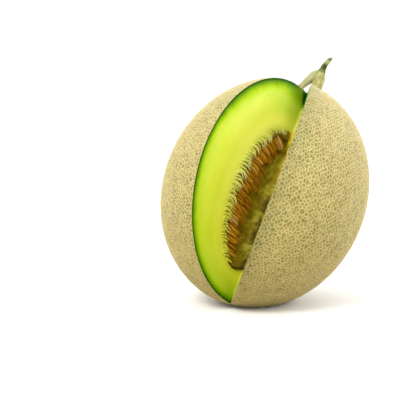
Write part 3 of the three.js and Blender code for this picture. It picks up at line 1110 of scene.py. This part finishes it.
def seed_material():
    shader = Shader("wet_seed")
    point = shader.fruit_point()
    tone = shader.add("ShaderNodeAttribute", output="Fac", attribute_name="tone")
    colour = shader.ramp(tone, [
        (0.0, (184, 124, 14)), (0.4, (208, 150, 28)), (0.8, (224, 170, 50)), (1.0, (226, 178, 110)),
    ])
    streaks = shader.noise(point, 1.6, 4.0, 0.6, 0.4)
    colour = shader.mix(shader.mapped(streaks, 0.45, 0.7, 0.0, 0.4), colour, (140, 82, 8))
    return shader.finish(
        Base_Color=colour,
        Roughness=shader.mapped(streaks, 0.3, 0.7, 0.24, 0.4),
        Subsurface_Weight=0.2,
        Subsurface_Radius=(1.0, 0.5, 0.15),
        Subsurface_Scale=1.5 * MM,
        Coat_Weight=0.4,
        Coat_Roughness=0.12,
        Normal=shader.bump(streaks, 0.08),
    )


def stem_material():
    shader = Shader("green_stem")
    point = shader.fruit_point()
    height = shader.axis(point, "Z")
    lengthwise = shader.vectors("MULTIPLY", point, (1, 1, 0.18))
    ribs = shader.noise(lengthwise, 1.5, 3.0, 0.6)
    blotches = shader.noise(point, 4.5, 3.0, 0.6)
    colour = shader.ramp(ribs, [
        (0.3, (120, 116, 48)), (0.5, (150, 146, 76)), (0.66, (194, 186, 128)),
    ])
    colour = shader.mix(shader.mapped(blotches, 0.42, 0.62, 0.0, 0.6, smooth=True), colour, (136, 148, 80))
    aside = shader.axis(point, "X")
    colour = shader.mix(shader.mapped(aside, 1.5, -2.5, 0.0, 0.4), colour, (204, 196, 162))
    dry = shader.mapped(shader.maths("ADD", height, shader.maths("MULTIPLY", ribs, 3.0)), 106.5, 108.5,
                        smooth=True)
    end = shader.ramp(shader.mapped(shader.maths("ADD", height, blotches), 106.0, 120.5), [
        (0.0, (84, 88, 14)), (0.45, (56, 62, 6)), (0.56, (148, 154, 100)), (0.7, (160, 164, 112)),
        (0.76, (70, 74, 34)), (0.84, (96, 98, 54)), (0.92, (190, 194, 158)),
    ])
    end = shader.mix(shader.mapped(ribs, 0.5, 0.62, 0.0, 0.6), end, (146, 148, 98))
    colour = shader.mix(dry, colour, end)
    grain = shader.noise(point, 0.5, 3.0)
    relief = shader.maths("ADD", grain, shader.maths("MULTIPLY", ribs, 2.0))
    return shader.finish(
        Base_Color=colour,
        Roughness=0.62,
        Specular_IOR_Level=shader.mapped(dry, 0.0, 1.0, 0.3, 0.12),
        Normal=shader.bump(relief, 0.2),
    )


# The pieces


def paint(thing, slot_name, *materials):
    thing.data.materials.clear()
    for material in materials:
        thing.data.materials.append(material)
    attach(thing, "root")
    return thing


def fruit_piece():
    made = netted_body()
    rind = rind_material()
    flesh = flesh_material()
    made.data.materials.append(rind)
    made.data.materials.append(flesh)
    for cutter in (cavity(), wedge()):
        cutter.data.materials.append(rind)
        cutter.data.materials.append(flesh)
        cutter.data.polygons.foreach_set("material_index", [1] * len(cutter.data.polygons))
        cut_away(made, cutter)
    shade_smooth(made, SHARPEST_SMOOTHED)
    work = bmesh.new()
    work.from_mesh(made.data)
    for edge in work.edges:
        if len({face.material_index for face in edge.link_faces}) > 1:
            edge.smooth = False
    work.to_mesh(made.data)
    work.free()
    return made


def build_pieces():
    made = fruit_piece()
    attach(made, "root")
    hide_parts("fruit")
    strands = paint(strand_piece(), "pulp", strand_material())
    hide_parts("fruit")
    pulp = paint(pulp_piece(), "pulp", pulp_material())
    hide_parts("pulp")
    stem = paint(stem_piece(), "stem", stem_material())
    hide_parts("stem")
    seeds = seed_material()
    draws = np.random.default_rng(5)
    for side in ("left", "right"):
        for place, row in (("outer", OUTER_ROW), ("inner", INNER_ROW)):
            name = f"{side}_{place}_seeds"
            piece = paint(seed_row(name, side, row, draws), "seeds", seeds)
            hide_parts(f"seeds_{side}_{place}")


# The floor, light and camera


def area_light(name, place, target, size, power, colour=(1, 1, 1)):
    lamp = bpy.data.lights.new(name, "AREA")
    lamp.shape = "DISK"
    lamp.size = size
    lamp.energy = power
    lamp.color = colour
    made = bpy.data.objects.new(name, lamp)
    made.location = place
    direction = Vector(target) - Vector(place)
    made.rotation_euler = direction.to_track_quat("-Z", "Y").to_euler()
    bpy.context.scene.collection.objects.link(made)


def studio():
    scene = bpy.context.scene
    world = bpy.data.worlds.new("studio")
    scene.world = world
    world.use_nodes = True
    tree = world.node_tree
    background = tree.nodes["Background"]
    background.inputs["Color"].default_value = (1, 1, 1, 1)
    direction = tree.nodes.new("ShaderNodeTexCoord").outputs["Generated"]
    ahead = tree.nodes.new("ShaderNodeSeparateXYZ")
    tree.links.new(direction, ahead.inputs["Vector"])
    strength = tree.nodes.new("ShaderNodeMapRange")
    tree.links.new(ahead.outputs["Y"], strength.inputs["Value"])
    strength.inputs["From Min"].default_value = -1
    strength.inputs["To Min"].default_value = WORLD_FRONT
    strength.inputs["To Max"].default_value = WORLD_BACK
    tree.links.new(strength.outputs["Result"], background.inputs["Strength"])
    scene.view_settings.view_transform = "Standard"

    mesh = bpy.data.meshes.new("floor")
    signs = ((-1, -1), (1, -1), (1, 1), (-1, 1))
    corners = [(x * FLOOR_HALF, y * FLOOR_HALF, 0) for x, y in signs]
    mesh.from_pydata(corners, [], [(0, 1, 2, 3)])
    floor = bpy.data.objects.new("floor", mesh)
    scene.collection.objects.link(floor)
    shader = Shader("pale_floor")
    shader.finish(Base_Color=(0.97, 0.97, 0.97, 1), Roughness=0.7, Specular_IOR_Level=0.2)
    mesh.materials.append(shader.material)

    centre = (0.0, 0.0, 0.08)
    area_light("key", (-0.55, -0.75, 0.95), centre, 0.5, 9.0)
    area_light("fill", (0.9, -0.5, 0.5), centre, 0.7, 3.2)
    area_light("right_edge", (1.1, 0.45, 0.55), centre, 0.8, 4.5)
    area_light("left_edge", (-1.1, 0.45, 0.55), centre, 0.8, 3.5)

    camera = bpy.data.cameras.new("camera")
    camera.lens = CAMERA_LENS
    camera.sensor_width = 36
    camera.clip_start = 0.01
    made = bpy.data.objects.new("camera", camera)
    made.location = [value * MM for value in CAMERA_PLACE]
    made.rotation_euler = (CAMERA_TILT, 0, 0)
    scene.collection.objects.link(made)
    scene.camera = made


build_pieces()
studio()
